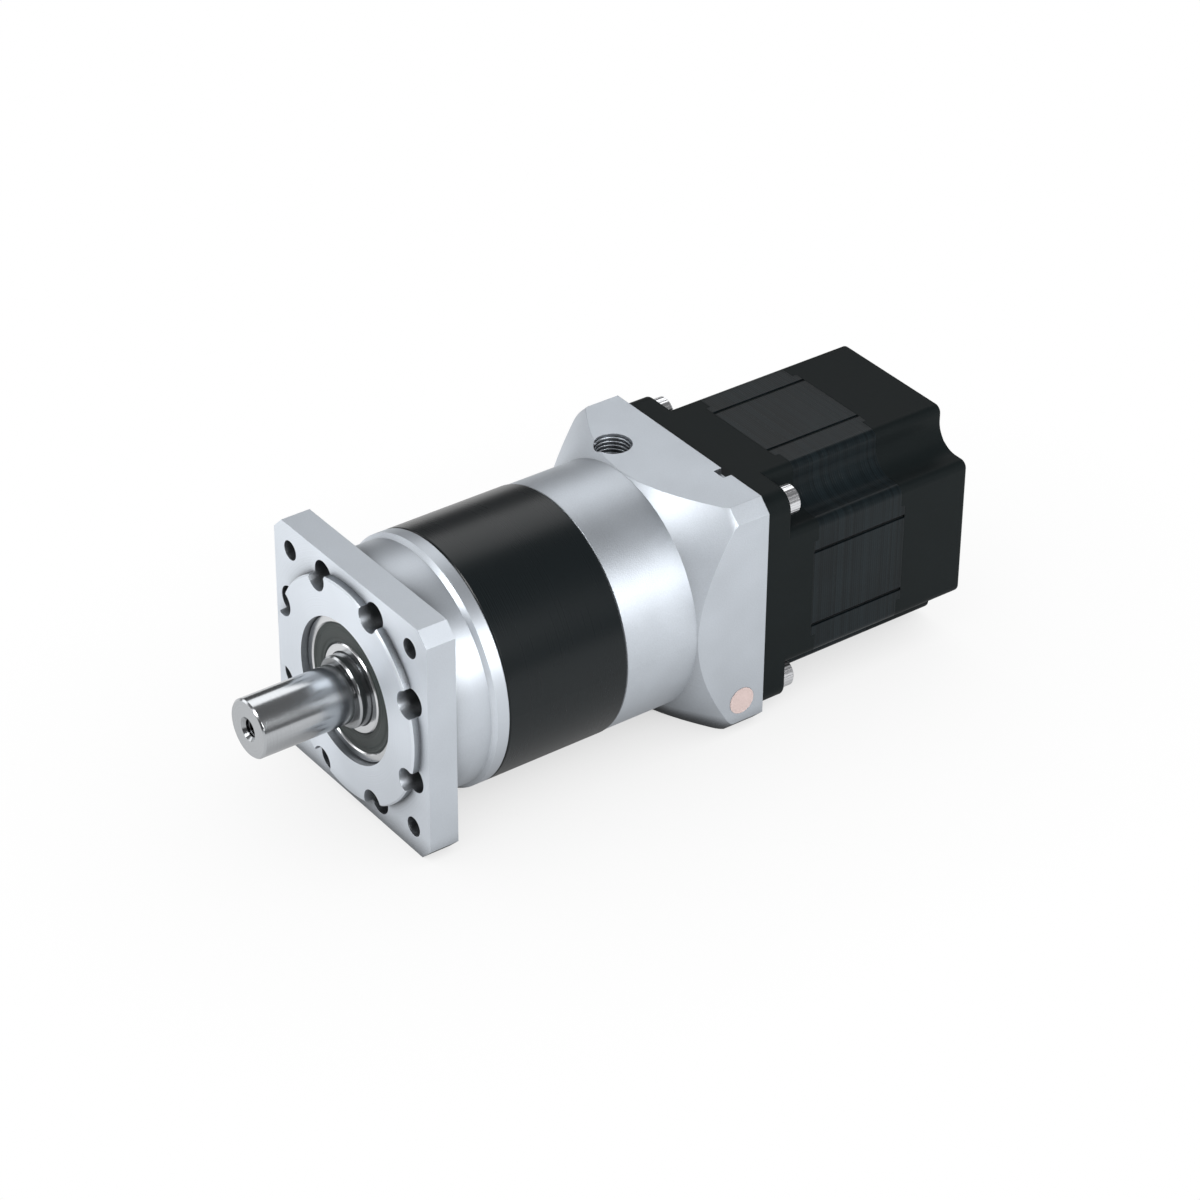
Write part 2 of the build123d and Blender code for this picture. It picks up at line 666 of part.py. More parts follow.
def rotor():
    """The rotor's two iron cups, half a tooth apart, and the magnet disc clamped between them."""
    middle = (stator_front + stator_rear) / 2
    front = middle - magnet_length / 2
    rear = middle + magnet_length / 2
    magnet = tube(rotor_r - magnet_inset, motor_shaft_r + seat_gap / 2, front, rear)
    return rotor_cup(0, front - cup_length, front), rotor_cup(1 / 2, rear, rear + cup_length), magnet


def motor_rear_cap():
    """The motor's rear end, with its bearing's seat, the tie screws' sunk heads and the slot for the leads."""
    cap = slab(motor_outline(), stator_rear, motor_rear)
    cap = fillet(cap.faces().sort_by(Axis.Y)[-1].edges(), rear_round)
    cap -= stator_tongue(stator_rear, stator_rear + tongue_length)
    floor_y = motor_rear - rear_bearing_floor
    tail_r = motor_bore_r + free_gap
    hollow = turned((0, stator_rear), (cap_cavity_r, stator_rear), (cap_cavity_r, board_rear),
                    (motor_out_r, board_rear), (motor_out_r, floor_y), (tail_r, floor_y),
                    (tail_r, floor_y + tail_room), (0, floor_y + tail_room))
    ties = slab(discs(corners(tie_half), m3_r + slip_gap), stator_rear, motor_rear)
    heads = slab(discs(corners(tie_half), m3_head_r + head_room), motor_rear - tie_head_sunk, motor_rear)
    slot = lead_plug(lead_slot, lead_slot_high, -motor_side / 2, lead_slot_extra - cap_cavity_r)
    return cap - hollow - ties - heads - slot


def lead_plug(width, high, x0, x1):
    """A block with round ends, from x0 to x1, in the rear cap's side where the motor's leads come out."""
    middle_y = stator_rear + tongue_length + lead_slot_high / 2 + lead_slot_wall
    plane = Plane(origin=(x0, middle_y, 0), x_dir=(0, 0, 1), z_dir=(1, 0, 0))
    return extrude(plane * SlotOverall(width, high), amount=x1 - x0)


def lead_grommet():
    """The rubber grommet that closes the lead slot, with a lip outside."""
    outside = -motor_side / 2
    body = lead_plug(lead_slot - 2 * seat_gap, lead_slot_high - 2 * seat_gap, outside, -cap_cavity_r)
    lip = lead_plug(lead_slot + 2 * lead_lip, lead_slot_high + 2 * lead_slot_wall, outside - lead_lip, outside)
    return body + lip


def build():
    """Every node of the assembly, by name."""
    y = front_bearing_y
    front_rings = bearing_rings(front_bore_r, front_out_r, front_width, y)
    rear_rings = bearing_rings(rear_bore_r, rear_out_r, rear_width, rear_bearing_y)
    input_rings = bearing_rings(input_bore_r, input_out_r, input_width, input_bearing_y)
    motor_front_rings = bearing_rings(motor_bore_r, motor_out_r, motor_width, motor_front_bearing_y)
    motor_rear_rings = bearing_rings(motor_bore_r, motor_out_r, motor_width, motor_rear_bearing_y)
    cup_front, cup_rear, magnet = rotor()
    m3 = (m3_r, m3_head_r, m3_head_high, m3_hex)
    m4 = (m4_r, m4_head_r, m4_head_high, m4_hex)
    planet_angles = [first_planet_angle + 360 / planet_count * k for k in range(planet_count)]
    tie_seat = motor_rear - tie_head_sunk
    tie_length = tie_seat - stator_front + tie_reach
    nodes = {
        "output_flange": output_flange(),
        "flange_screws": screws_across(cap_screw(*m3, flange_screw_length), flange_screw_places(),
                                       pocket_depth),
        "ring_gear": ring_gear(),
        "motor_adapter": motor_adapter(),
        "adapter_screws": screws_across(cap_screw(*m3, adapter_screw_length), adapter_screw_places(),
                                        ring_rear + adapter_seat, toward_front=False),
        "output_shaft": output_shaft(),
        "carrier_plate": carrier_plate(),
        "planet_pins": planet_pins(),
        "planet_washers": planet_washers(),
        "sun_gear": sun_gear(),
        "clamp_collar": clamp_collar(),
        "clamp_screw": Pos(access_x, access_y, clamp_head_seat) * cap_screw(*m4, clamp_screw_length),
        "input_bearing_snap_ring": snap_ring(input_out_r + snap_ring_grip - seat_gap,
                                             input_out_r - snap_ring_height, input_bearing_end + side_gap),
        "front_bearing_outer_ring": front_rings[0],
        "front_bearing_inner_ring": front_rings[1],
        "front_bearing_balls": ball_set(front_bore_r, front_out_r, front_width, y, front_ball_count),
        "front_bearing_seals": bearing_seals(front_bore_r, front_out_r, front_width, y),
        "rear_bearing_outer_ring": rear_rings[0],
        "rear_bearing_inner_ring": rear_rings[1],
        "rear_bearing_balls": ball_set(rear_bore_r, rear_out_r, rear_width, rear_bearing_y, rear_ball_count),
        "input_bearing_outer_ring": input_rings[0],
        "input_bearing_inner_ring": input_rings[1],
        "input_bearing_balls": ball_set(input_bore_r, input_out_r, input_width, input_bearing_y,
                                        input_ball_count),
        "motor_front_cap": motor_front_cap(),
        "motor_rear_cap": motor_rear_cap(),
        "stator_laminations": stator_laminations(),
        "stator_windings": stator_windings(),
        "rotor_cup_front": cup_front,
        "rotor_cup_rear": cup_rear,
        "rotor_magnet": magnet,
        "motor_shaft": rod(motor_shaft_r, motor_tip, motor_rear_bearing_end + shaft_tail),
        "motor_front_bearing_outer_ring": motor_front_rings[0],
        "motor_front_bearing_inner_ring": motor_front_rings[1],
        "motor_front_bearing_balls": ball_set(motor_bore_r, motor_out_r, motor_width, motor_front_bearing_y,
                                              motor_ball_count),
        "motor_rear_bearing_outer_ring": motor_rear_rings[0],
        "motor_rear_bearing_inner_ring": motor_rear_rings[1],
        "motor_rear_bearing_balls": ball_set(motor_bore_r, motor_out_r, motor_width, motor_rear_bearing_y,
                                             motor_ball_count),
        "wave_washer": tube(motor_out_r - wave_washer_step, wave_washer_bore_r, motor_rear_bearing_end,
                            motor_rear_bearing_end + wave_washer_thick),
        "motor_mount_screws": screws_across(cap_screw(*m4, motor_screw_length), corners(mount_half),
                                            motor_body, toward_front=False),
        "motor_tie_screws": screws_across(cap_screw(*m3, tie_length), corners(tie_half), tie_seat,
                                          toward_front=False),
        "terminal_board": tube(cap_cavity_r - side_gap, board_bore_r, board_rear - board_thick, board_rear),
        "lead_grommet": lead_grommet(),
        "inspection_sticker": Pos(frame_side / 2, adapter_rear - sticker_back, sticker_rise - frame_side / 2)
        * Rot(Y=90) * extrude(Circle(sticker_r), amount=sticker_thick),
    }
    for k, angle in enumerate(planet_angles, 1):
        nodes[f"planet_gear_{k}"] = planet_gear(angle)
        nodes[f"planet_bush_{k}"] = planet_bush(angle)
    return nodes


os.makedirs("parts", exist_ok=True)
for name, shape in build().items():
    export_step(shape, f"parts/{name}.step")
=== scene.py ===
"""Looks of an inline planetary gearmotor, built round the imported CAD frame.

Lengths in the classes are in millimetres and turned to metres where meshes are made. The shaft
axis is Y, the output shaft points along -Y and +Z is up.
"""
import logging
import math
from dataclasses import dataclass, field
from enum import Enum

import bmesh
import bpy
from mathutils import Matrix, Vector


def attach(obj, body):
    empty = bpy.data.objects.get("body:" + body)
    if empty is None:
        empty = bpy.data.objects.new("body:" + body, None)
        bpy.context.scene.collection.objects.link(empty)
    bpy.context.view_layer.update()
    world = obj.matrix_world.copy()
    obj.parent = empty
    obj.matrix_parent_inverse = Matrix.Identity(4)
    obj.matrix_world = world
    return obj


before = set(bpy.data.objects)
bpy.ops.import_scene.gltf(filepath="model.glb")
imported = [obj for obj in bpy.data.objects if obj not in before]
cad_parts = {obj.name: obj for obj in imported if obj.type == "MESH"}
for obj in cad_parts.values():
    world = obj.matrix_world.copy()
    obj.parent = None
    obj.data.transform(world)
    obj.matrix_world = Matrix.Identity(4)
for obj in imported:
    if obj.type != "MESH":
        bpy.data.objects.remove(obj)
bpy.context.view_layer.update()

MM = 0.001
log = logging.getLogger("gearmotor")

Tree = bpy.types.NodeTree
Socket = bpy.types.NodeSocket
Point = tuple[float, float, float]

# What all finishes share. Lengths are in mm.
PATCH_SIZE = 14.0  # across one of the slow patches in which colour and gloss drift
PATCH_SHARE = 0.5  # of that drift is in the patches, and the rest in the lay
DRIFT_ENDS = (0.3, 0.7)  # levels of the drift at which a colour is darkest and lightest
GLOSS_SPREAD = 0.1  # how far the roughness drifts, as a share
FACE_LIMIT = 0.7  # a normal that is longer than this along Y is on a face square to the axis
HIGHLIGHT_TURN = 0.25  # a quarter turn, which stretches highlights across the lay
PAINTED_SHADE_REACH = 6.0  # how far round a point the painted shade looks for walls
PAINTED_SHADE_ENDS = (0.5, 0.9)  # openness at which the painted shade is full, and gone
PAINTED_SHADE_SAMPLES = 4  # rays from a point that look for walls
EDGE_SAMPLES = 6  # rays from a point that look for an edge to round
SHEET_WAVE = 0.3  # height of the rounding of each sheet, beside its own level from 0 to 1
SHEET_SCALE = 0.6  # brings the two together to between 0 and 1
KNURL_RIDGES = 26.0  # round one screw head, 1 mm apart; real ones are finer and drawn coarser


def linear(hex_colour: str) -> tuple[float, float, float, float]:
    """Turn an sRGB hex colour into linear RGBA, by the standard's curve.

    Args:
        hex_colour: Six hex digits, as in "c8cdd2".

    Returns:
        Linear red, green, blue and an alpha of 1.
    """
    parts = [int(hex_colour[k:k + 2], 16) / 255 for k in (0, 2, 4)]
    return (*[c / 12.92 if c <= 0.04045 else ((c + 0.055) / 1.055) ** 2.4 for c in parts], 1.0)


def add_node(tree: Tree, kind: str, inputs: dict[str | int, object] | None = None,
             **settings: object) -> bpy.types.Node:
    """Add one shader node with its settings, values and links.

    Args:
        tree: The node tree to add to.
        kind: The node's type name, without the "ShaderNode" that all of them begin with.
        inputs: What goes in, by the input's name or number. A socket is linked, a node is linked
            by its first output, and anything else is set as a plain value.
        **settings: The node's own properties.

    Returns:
        The new node.
    """
    node = tree.nodes.new("ShaderNode" + kind)
    for name, value in settings.items():
        setattr(node, name, value)
    for name, value in (inputs or {}).items():
        if isinstance(value, bpy.types.Node):
            value = value.outputs[0]
        if isinstance(value, Socket):
            tree.links.new(value, node.inputs[name])
        else:
            node.inputs[name].default_value = value
    return node


def heading(azimuth: float, elevation: float) -> Vector:
    """The unit vector from the object towards an azimuth and elevation in degrees.

    Args:
        azimuth: Counted from -Y towards +X.
        elevation: Counted up from the floor.

    Returns:
        The vector.
    """
    a, e = math.radians(azimuth), math.radians(elevation)
    return Vector((math.sin(a) * math.cos(e), -math.cos(a) * math.cos(e), math.sin(e)))


class Lay(Enum):
    """The pattern that the making of a surface leaves on it."""
    GRAIN = "an even grain, from casting, blasting, moulding or coating"
    TURNED = "fine rings round the shaft axis, from a lathe"
    SHEETS = "the edges of sheets or wires laid side by side along the shaft axis"
    KNURL = "straight knurling round the heads of the motor's mounting screws"


@dataclass(frozen=True)
class Finish:
    """One finish: a principled surface with the pattern of its making and rounded edges.

    Attributes:
        name: The real material's name.
        colour: Its sRGB colour.
        metallic: 1 for bare metal, 0 for paint, rubber or paper.
        roughness: How matt it is.
        lay: The pattern that its making leaves.
        pitch: The size of that pattern in mm, drawn as coarse as it has to be to show.
        relief: How deep the pattern is in mm.
        edge: The radius in mm that its edges are worn or broken to.
        specular: How strongly a surface that isn't metal mirrors; 0.5 is plain plastic.
        anisotropy: How much the lay stretches its highlights across itself.
        mottle: How far its colour drifts from place to place, as a share.
        face_colour: A second sRGB colour, on the faces square to the shaft axis. Turning then
            shows there alone, and the other faces keep an even grain.
        knurl_half: For knurling, how far the screws stand from the shaft axis along X and Z.
        painted_shade: How much painted shade darkens holes and corners, as a share.
    """
    name: str
    colour: str
    metallic: float
    roughness: float
    lay: Lay = Lay.GRAIN
    pitch: float = 0.3
    relief: float = 0.01
    edge: float = 0.12
    specular: float = 0.5
    anisotropy: float = 0.0
    mottle: float = 0.1
    face_colour: str = ""
    knurl_half: float = 0.0
    painted_shade: float = 0.0

    def material(self) -> bpy.types.Material:
        """Make the Blender material, or find it if it is made.

        Returns:
            The material.
        """
        if self.name in bpy.data.materials:
            return bpy.data.materials[self.name]
        made = bpy.data.materials.new(self.name)
        made.use_nodes = True
        tree = made.node_tree
        place = add_node(tree, "TexCoord").outputs
        fine = add_node(tree, "TexNoise", {"Vector": place["Object"], "Scale": self.per_metre(),
                                           "Detail": 3.0})
        patches = add_node(tree, "TexNoise", {"Vector": place["Object"], "Detail": 2.0,
                                              "Scale": 1 / (PATCH_SIZE * MM)})
        normal = add_node(tree, "SeparateXYZ", {0: place["Normal"]}).outputs
        facing = add_node(tree, "Math", {0: normal["Y"]}, operation="ABSOLUTE")
        face = add_node(tree, "Math", {0: facing, 1: FACE_LIMIT}, operation="GREATER_THAN")
        height = self.pattern(tree, place["Object"], face, fine)
        slow = add_node(tree, "Math", {0: patches, 1: PATCH_SHARE}, operation="MULTIPLY")
        drift = add_node(tree, "Math", {0: height, 1: 1 - PATCH_SHARE, 2: slow},
                         operation="MULTIPLY_ADD")
        gloss = add_node(tree, "MapRange", {"Value": drift,
                                            "To Min": self.roughness * (1 - GLOSS_SPREAD),
                                            "To Max": self.roughness * (1 + GLOSS_SPREAD)})
        rounded = add_node(tree, "Bevel", {"Radius": self.edge * MM}, samples=EDGE_SAMPLES)
        bump = add_node(tree, "Bump", {"Height": height, "Normal": rounded, "Strength": 1.0,
                                       "Distance": self.relief * MM})
        shader = tree.nodes["Principled BSDF"].inputs
        tree.links.new(self.tint(tree, drift, face), shader["Base Color"])
        tree.links.new(gloss.outputs[0], shader["Roughness"])
        tree.links.new(bump.outputs[0], shader["Normal"])
        shader["Metallic"].default_value = self.metallic
        shader["Specular IOR Level"].default_value = self.specular
        shader["Anisotropic"].default_value = self.anisotropy
        shader["Anisotropic Rotation"].default_value = HIGHLIGHT_TURN
        if self.anisotropy:
            across = add_node(tree, "Tangent", direction_type="RADIAL", axis="Y")
            tree.links.new(across.outputs[0], shader["Tangent"])
        return made

    def per_metre(self) -> float:
        """How many pitches of the pattern there are in a metre."""
        return 1 / (self.pitch * MM)

    def tint(self, tree: Tree, drift: bpy.types.Node, face: bpy.types.Node) -> Socket:
        """Colour the surface, with its faces' own colour and the painted shade in its holes and
        corners.

        Args:
            tree: The material's node tree.
            drift: The node that gives the level of the drift, from 0 to 1.
            face: The node that gives 1 on faces square to the shaft axis.

        Returns:
            The socket of the colour.
        """
        base = self.shade(tree, drift, self.colour)
        if self.face_colour:
            turned = self.shade(tree, drift, self.face_colour)
            base = add_node(tree, "Mix", {0: face, 6: base, 7: turned},
                            data_type="RGBA").outputs[2]
        # Painted shade: the colour is darkened where walls stand close round a point, in holes
        # and corners.
        if self.painted_shade:
            full, gone = PAINTED_SHADE_ENDS
            openness = add_node(tree, "AmbientOcclusion", {"Distance": PAINTED_SHADE_REACH * MM},
                                samples=PAINTED_SHADE_SAMPLES).outputs["AO"]
            painted_shade_level = add_node(tree, "MapRange", {"Value": openness, "From Min": full,
                                                "From Max": gone, "To Min": 1 - self.painted_shade})
            base = add_node(tree, "Mix", {0: 1.0, 6: base, 7: painted_shade_level}, data_type="RGBA",
                            blend_type="MULTIPLY").outputs[2]
        return base

    def shade(self, tree: Tree, drift: bpy.types.Node, colour: str) -> Socket:
        """Let a colour drift between a darker and a lighter one.

        Args:
            tree: The material's node tree.
            drift: The node that gives the level of the drift, from 0 to 1.
            colour: The sRGB colour to vary.

        Returns:
            The socket of the varied colour.
        """
        ramp = add_node(tree, "ValToRGB", {"Fac": drift})
        base = linear(colour)[:3]
        shares = (1 - self.mottle, 1 + self.mottle)
        for element, stop, share in zip(ramp.color_ramp.elements, DRIFT_ENDS, shares):
            element.position = stop
            element.color = [min(1.0, c * share) for c in base] + [1]
        return ramp.outputs["Color"]

    def pattern(self, tree: Tree, place: Socket, face: bpy.types.Node,
                fine: bpy.types.Node) -> bpy.types.Node:
        """Draw the lay as a height from 0 to 1.

        Args:
            tree: The material's node tree.
            place: The socket of the place on the object.
            face: The node that gives 1 on faces square to the shaft axis.
            fine: The node of a fine even noise.

        Returns:
            The node that gives the height.
        """
        if self.lay is Lay.GRAIN:
            return fine
        x, y, z = add_node(tree, "SeparateXYZ", {0: place}).outputs
        if self.lay is Lay.SHEETS:
            return self.sheets(tree, y)
        beside = add_node(tree, "Math", {0: 1.0, 1: face}, operation="SUBTRACT")
        if self.lay is Lay.KNURL:
            return self.knurl(tree, x, z, beside)
        squares = [add_node(tree, "Math", {0: v, 1: v}, operation="MULTIPLY") for v in (x, z)]
        squared = add_node(tree, "Math", dict(enumerate(squares)), operation="ADD")
        far = add_node(tree, "Math", {0: squared}, operation="SQRT")
        step = add_node(tree, "Math", {0: far, 1: y}, operation="SUBTRACT")
        along = add_node(tree, "Math", {0: face, 1: step, 2: y}, operation="MULTIPLY_ADD")
        rings = add_node(tree, "TexNoise", {"W": along, "Scale": self.per_metre(), "Detail": 2.0},
                         noise_dimensions="1D")
        if not self.face_colour:
            return rings
        grain = add_node(tree, "Math", {0: beside, 1: fine}, operation="MULTIPLY")
        return add_node(tree, "Math", {0: face, 1: rings, 2: grain}, operation="MULTIPLY_ADD")

    def sheets(self, tree: Tree, along: Socket) -> bpy.types.Node:
        """Draw sheets that stand a little proud of each other, each with rounded edges.

        Args:
            tree: The material's node tree.
            along: The socket of the place along the shaft axis.

        Returns:
            The node that gives the height.
        """
        count = add_node(tree, "Math", {0: along, 1: self.pitch * MM}, operation="DIVIDE")
        number = add_node(tree, "Math", {0: count}, operation="FLOOR")
        level = add_node(tree, "TexWhiteNoise", {"W": number}, noise_dimensions="1D")
        turn = add_node(tree, "Math", {0: along, 1: math.tau * self.per_metre()},
                        operation="MULTIPLY")
        wave = add_node(tree, "Math", {0: turn}, operation="SINE")
        both = add_node(tree, "Math", {0: wave, 1: SHEET_WAVE, 2: level.outputs["Value"]},
                        operation="MULTIPLY_ADD")
        raised = add_node(tree, "Math", {0: both, 1: SHEET_WAVE}, operation="ADD")
        return add_node(tree, "Math", {0: raised, 1: SHEET_SCALE}, operation="MULTIPLY")

    def knurl(self, tree: Tree, x: Socket, z: Socket, beside: bpy.types.Node) -> bpy.types.Node:
        """Draw ridges round the sides of the four screw heads.

        Args:
            tree: The material's node tree.
            x: The socket of the place across the object.
            z: The socket of the height.
            beside: The node that gives 1 on faces that aren't square to the shaft axis.

        Returns:
            The node that gives the height.
        """
        offsets = []
        for place in (x, z):
            size = add_node(tree, "Math", {0: place}, operation="ABSOLUTE")
            offsets.append(add_node(tree, "Math", {0: size, 1: self.knurl_half * MM},
                                    operation="SUBTRACT"))
        angle = add_node(tree, "Math", dict(enumerate(offsets)), operation="ARCTAN2")
        turn = add_node(tree, "Math", {0: angle, 1: KNURL_RIDGES}, operation="MULTIPLY")
        ridges = add_node(tree, "Math", {0: turn}, operation="SINE")
        kept = add_node(tree, "Math", {0: ridges, 1: beside}, operation="MULTIPLY")
        return add_node(tree, "Math", {0: kept, 1: 0.5, 2: 0.5}, operation="MULTIPLY_ADD")


# Aluminium under clear anodising, turned after blasting: faces in a soft satin silver with rings
# from the lathe, sides a little darker and bluer. The real rings are 0.1 mm apart, drawn coarser.
# Its holes and corners get painted shade.
TURNED_ALUMINIUM = Finish(
    "clear_anodised_turned_aluminium", "ccd2d9", 1.0, 0.52, Lay.TURNED, pitch=0.22, relief=0.006,
    edge=0.08, anisotropy=0.5, mottle=0.06, face_colour="e4eaf1", painted_shade=0.82)
# Aluminium under clear anodising, blasted: an even, pearly silver that mirrors nothing sharply.
# The real grain is 0.05 mm and drawn coarser.
# Its holes and corners get painted shade.
BLASTED_ALUMINIUM = Finish(
    "clear_anodised_blasted_aluminium", "c6ccd3", 1.0, 0.5, pitch=0.3, relief=0.03,
    anisotropy=0.2, mottle=0.09, painted_shade=0.8)
# Steel ring under black oxide, turned smooth: near black, with one soft highlight along it. The
# oxide hides the metal, and the real rings are 0.05 mm apart and drawn coarser.
BLACK_RING = Finish(
    "black_oxide_turned_steel", "111618", 0.0, 0.28, Lay.TURNED, pitch=0.3, relief=0.0005,
    specular=0.24, mottle=0.04)
# Die-cast aluminium under black paint: dead matt, with the paint's even fine orange peel, 0.5 mm
# across.
BLACK_CAST = Finish(
    "black_painted_cast_aluminium", "121718", 0.0, 0.48, pitch=0.5, relief=0.008, edge=0.3,
    specular=0.08, mottle=0.12)
# Punched edges of electrical steel sheets, blackened: each sheet catches the light a little
# differently. The sheets are 0.5 mm thick and drawn 0.6 mm.
SHEET_STACK = Finish(
    "blackened_electrical_steel_sheets", "10171a", 0.0, 0.34, Lay.SHEETS, pitch=0.6, relief=0.03,
    specular=0.14, mottle=0.35)
# Weld metal across the sheets, as it set: darker than they are, with a burnt shine and specks of
# scale 0.6 mm across.
WELD = Finish("weld_metal", "1a1c1d", 1.0, 0.4, pitch=0.6, relief=0.03, mottle=0.3)
# Shaft steel, ground: a bright mirror with faint streaks round it, 0.05 mm apart in life and
# drawn coarser. Its root in the bearing is darkened with painted shade.
GROUND_STEEL = Finish(
    "ground_shaft_steel", "b2b5b8", 1.0, 0.18, Lay.TURNED, pitch=0.35, relief=0.004, mottle=0.05,
    painted_shade=0.7)
# Gear steel, cut and hardened: darker and duller than the shaft. The cutter's marks are 0.2 mm
# apart and drawn coarser.
GEAR_STEEL = Finish("hardened_gear_steel", "a5a7a9", 1.0, 0.35, pitch=0.4, relief=0.004)
# Bearing steel, ground and polished: the brightest of the steels, nearly without marks. They are
# 0.02 mm apart and drawn coarser.
BEARING_STEEL = Finish(
    "polished_bearing_steel", "d6d8da", 1.0, 0.2, Lay.TURNED, relief=0.001, mottle=0.03)
# Screw steel, knurled and zinc plated: bright, with glints along the ridges of the heads.
PLATED_SCREW = Finish(
    "zinc_plated_screw_steel", "dcdde0", 1.0, 0.28, Lay.KNURL, relief=0.04, edge=0.08,
    mottle=0.05, knurl_half=23.57)
# Screw steel, nickel plated: small, smooth and bright, deep in its holes. The plating's waves are
# 0.2 mm across and drawn coarser.
BRIGHT_SCREW = Finish(
    "nickel_plated_screw_steel", "b9b7b4", 1.0, 0.22, pitch=0.5, relief=0.003, edge=0.08)
# Screw steel under black oxide: oily dark grey. Its grain is 0.05 mm and drawn coarser.
BLACK_SCREW = Finish("black_oxide_screw_steel", "3a3b3c", 1.0, 0.35, edge=0.08)
# Bronze, sintered: warm and dull, with oil in its pores, which are 0.05 mm and drawn coarser.
BRONZE = Finish("sintered_bronze", "b08d57", 1.0, 0.42, pitch=0.2, mottle=0.15)
# Nitrile rubber, moulded: dark green-grey with a dull bloom. The rings that the turned mould
# leaves are 0.1 mm apart and drawn coarser.
RUBBER = Finish(
    "nitrile_seal_rubber", "343b3a", 0.0, 0.5, Lay.TURNED, pitch=0.5, relief=0.008, specular=0.4)
# Copper wire under enamel, wound in rows 0.7 mm apart: glossy orange brown.
COPPER = Finish(
    "enamelled_copper_wire", "b5673a", 1.0, 0.3, Lay.SHEETS, pitch=0.7, relief=0.1, mottle=0.15)
# Magnet alloy, sintered: grainy grey metal. The grains are 0.05 mm and drawn coarser.
MAGNET = Finish("sintered_magnet", "8c8d8f", 1.0, 0.4)
# Glass-fibre board under green lacquer: smooth, with the weave of 0.6 mm just showing.
BOARD = Finish("lacquered_circuit_board", "1d5a2c", 0.0, 0.4, pitch=0.6)
# Paper with a thin coat: faintly pink, with soft fibres 0.1 mm across, drawn coarser.
STICKER_PAPER = Finish(
    "coated_sticker_paper", "bcaaa6", 0.0, 0.5, pitch=0.4, edge=0.03, specular=0.3, mottle=0.05)


def keep(name: str, mesh: bmesh.types.BMesh, finish: Finish, body: str) -> None:
    """Turn a built mesh, in mm, into a piece of the object.

    Args:
        name: The piece's name.
        mesh: Its mesh, which is used up.
        finish: Its finish.
        body: The CAD body that carries it.
    """
    bmesh.ops.recalc_face_normals(mesh, faces=mesh.faces)
    bmesh.ops.scale(mesh, vec=(MM, MM, MM), verts=mesh.verts)
    data = bpy.data.meshes.new(name)
    mesh.to_mesh(data)
    mesh.free()
    data.shade_smooth()
    data.materials.append(finish.material())
    piece = bpy.data.objects.new(name, data)
    bpy.context.collection.objects.link(piece)
    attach(piece, body)
    log.info("%s: %d faces on %s", name, len(data.polygons), body)


def strip(mesh: bmesh.types.BMesh, rows: list[list[Vector]], ring: bool = False) -> None:
    """Join rows of points into a closed skin, the last point of each row to its first.

    Args:
        mesh: The mesh to add to.
        rows: Rows of equally many points.
        ring: True to join the last row to the first, or else both ends get a face.
    """
    made = [[mesh.verts.new(point) for point in row] for row in rows]
    count = len(rows[0])
    pairs = list(zip(made, made[1:])) + ([(made[-1], made[0])] if ring else [])
    for low, high in pairs:
        for k in range(count):
            n = (k + 1) % count
            mesh.faces.new((low[k], low[n], high[n], high[k]))
    if not ring:
        mesh.faces.new(made[0])
        mesh.faces.new(reversed(made[-1]))


def bearing(name: str) -> dict[str, Finish]:
    """The finish of each node of a bearing, by the node's name."""
    pieces = ("outer_ring", "inner_ring", "balls")
    return {f"{name}_bearing_{piece}": BEARING_STEEL for piece in pieces}


@dataclass(frozen=True)
class Thread:
    """The turns of a tapped hole, as a ridge wound down its wall.

    Attributes:
        name: The piece's name.
        mouth: Where the thread begins, on the hole's axis.
        inward: The unit vector into the hole.
        radius: The hole's radius.
        pitch: From turn to turn.
        height: From the wall in to the crests.
        length: How long the thread is.
        foot: Half the width of the ridge at the wall, as a share of the pitch.
        sunk: How far the ridge goes into the wall.
        steps: How many flats each turn is drawn with.
    """
    name: str
    mouth: Point
    inward: Point
    radius: float
    pitch: float
    height: float
    length: float
    foot: float = 0.42
    sunk: float = 0.01
    steps: int = 30

    def build(self, finish: Finish, body: str, slot: str) -> None:
        """Wind the ridge.

        Args:
            finish: The finish of the hole's part.
            body: The body that it rides on.
            slot: Not used.
        """
        axis = Vector(self.inward)
        side = axis.orthogonal().normalized()
        over = axis.cross(side)
        half = axis * self.pitch * self.foot
        wall = self.radius + self.sunk
        rows = []
        for k in range(int(self.steps * self.length / self.pitch)):
            angle = math.tau * k / self.steps
            out = side * math.cos(angle) + over * math.sin(angle)
            middle = Vector(self.mouth) + axis * (self.pitch * k / self.steps)
            rows.append([middle - half + out * wall, middle + out * (self.radius - self.height),
                         middle + half + out * wall])
        mesh = bmesh.new()
        strip(mesh, rows)
        keep(self.name, mesh, finish, body)


@dataclass
class SubAssembly:
    """Pieces that belong together, with the finish of each of their CAD nodes.

    Attributes:
        finishes: The finish of each CAD node, by the node's name.
    """
    finishes: dict[str, Finish] = field(default_factory=dict)

    def build(self) -> None:
        """Give each CAD node its finish."""
        for name, finish in self.finishes.items():
            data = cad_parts[name].data
            data.materials.clear()
            data.materials.append(finish.material())
            log.info("%s: %s", name, finish.name)


@dataclass
class Gearbox(SubAssembly):
    """The housing of the gearbox: flange, ring gear, adapter and their screws.

    Attributes:
        access_thread: The thread of the hole over the clamp screw.
    """
    finishes: dict[str, Finish] = field(default_factory=lambda: {
        "output_flange": TURNED_ALUMINIUM,
        "flange_screws": BRIGHT_SCREW,
        "ring_gear": BLACK_RING,
        "motor_adapter": BLASTED_ALUMINIUM,
        "adapter_screws": BLACK_SCREW,
        "inspection_sticker": STICKER_PAPER,
    })
    access_thread: Thread = Thread(
        "access_hole_thread", mouth=(-10.2, 78.4, 29.2), inward=(0.0, 0.0, -1.0), radius=4.45,
        pitch=1.0, height=0.45, length=12.0)

    def build(self) -> None:
        """Dress the nodes and cut the access hole's thread."""
        super().build()
        self.access_thread.build(BLASTED_ALUMINIUM, "housing", "anodised_aluminium")


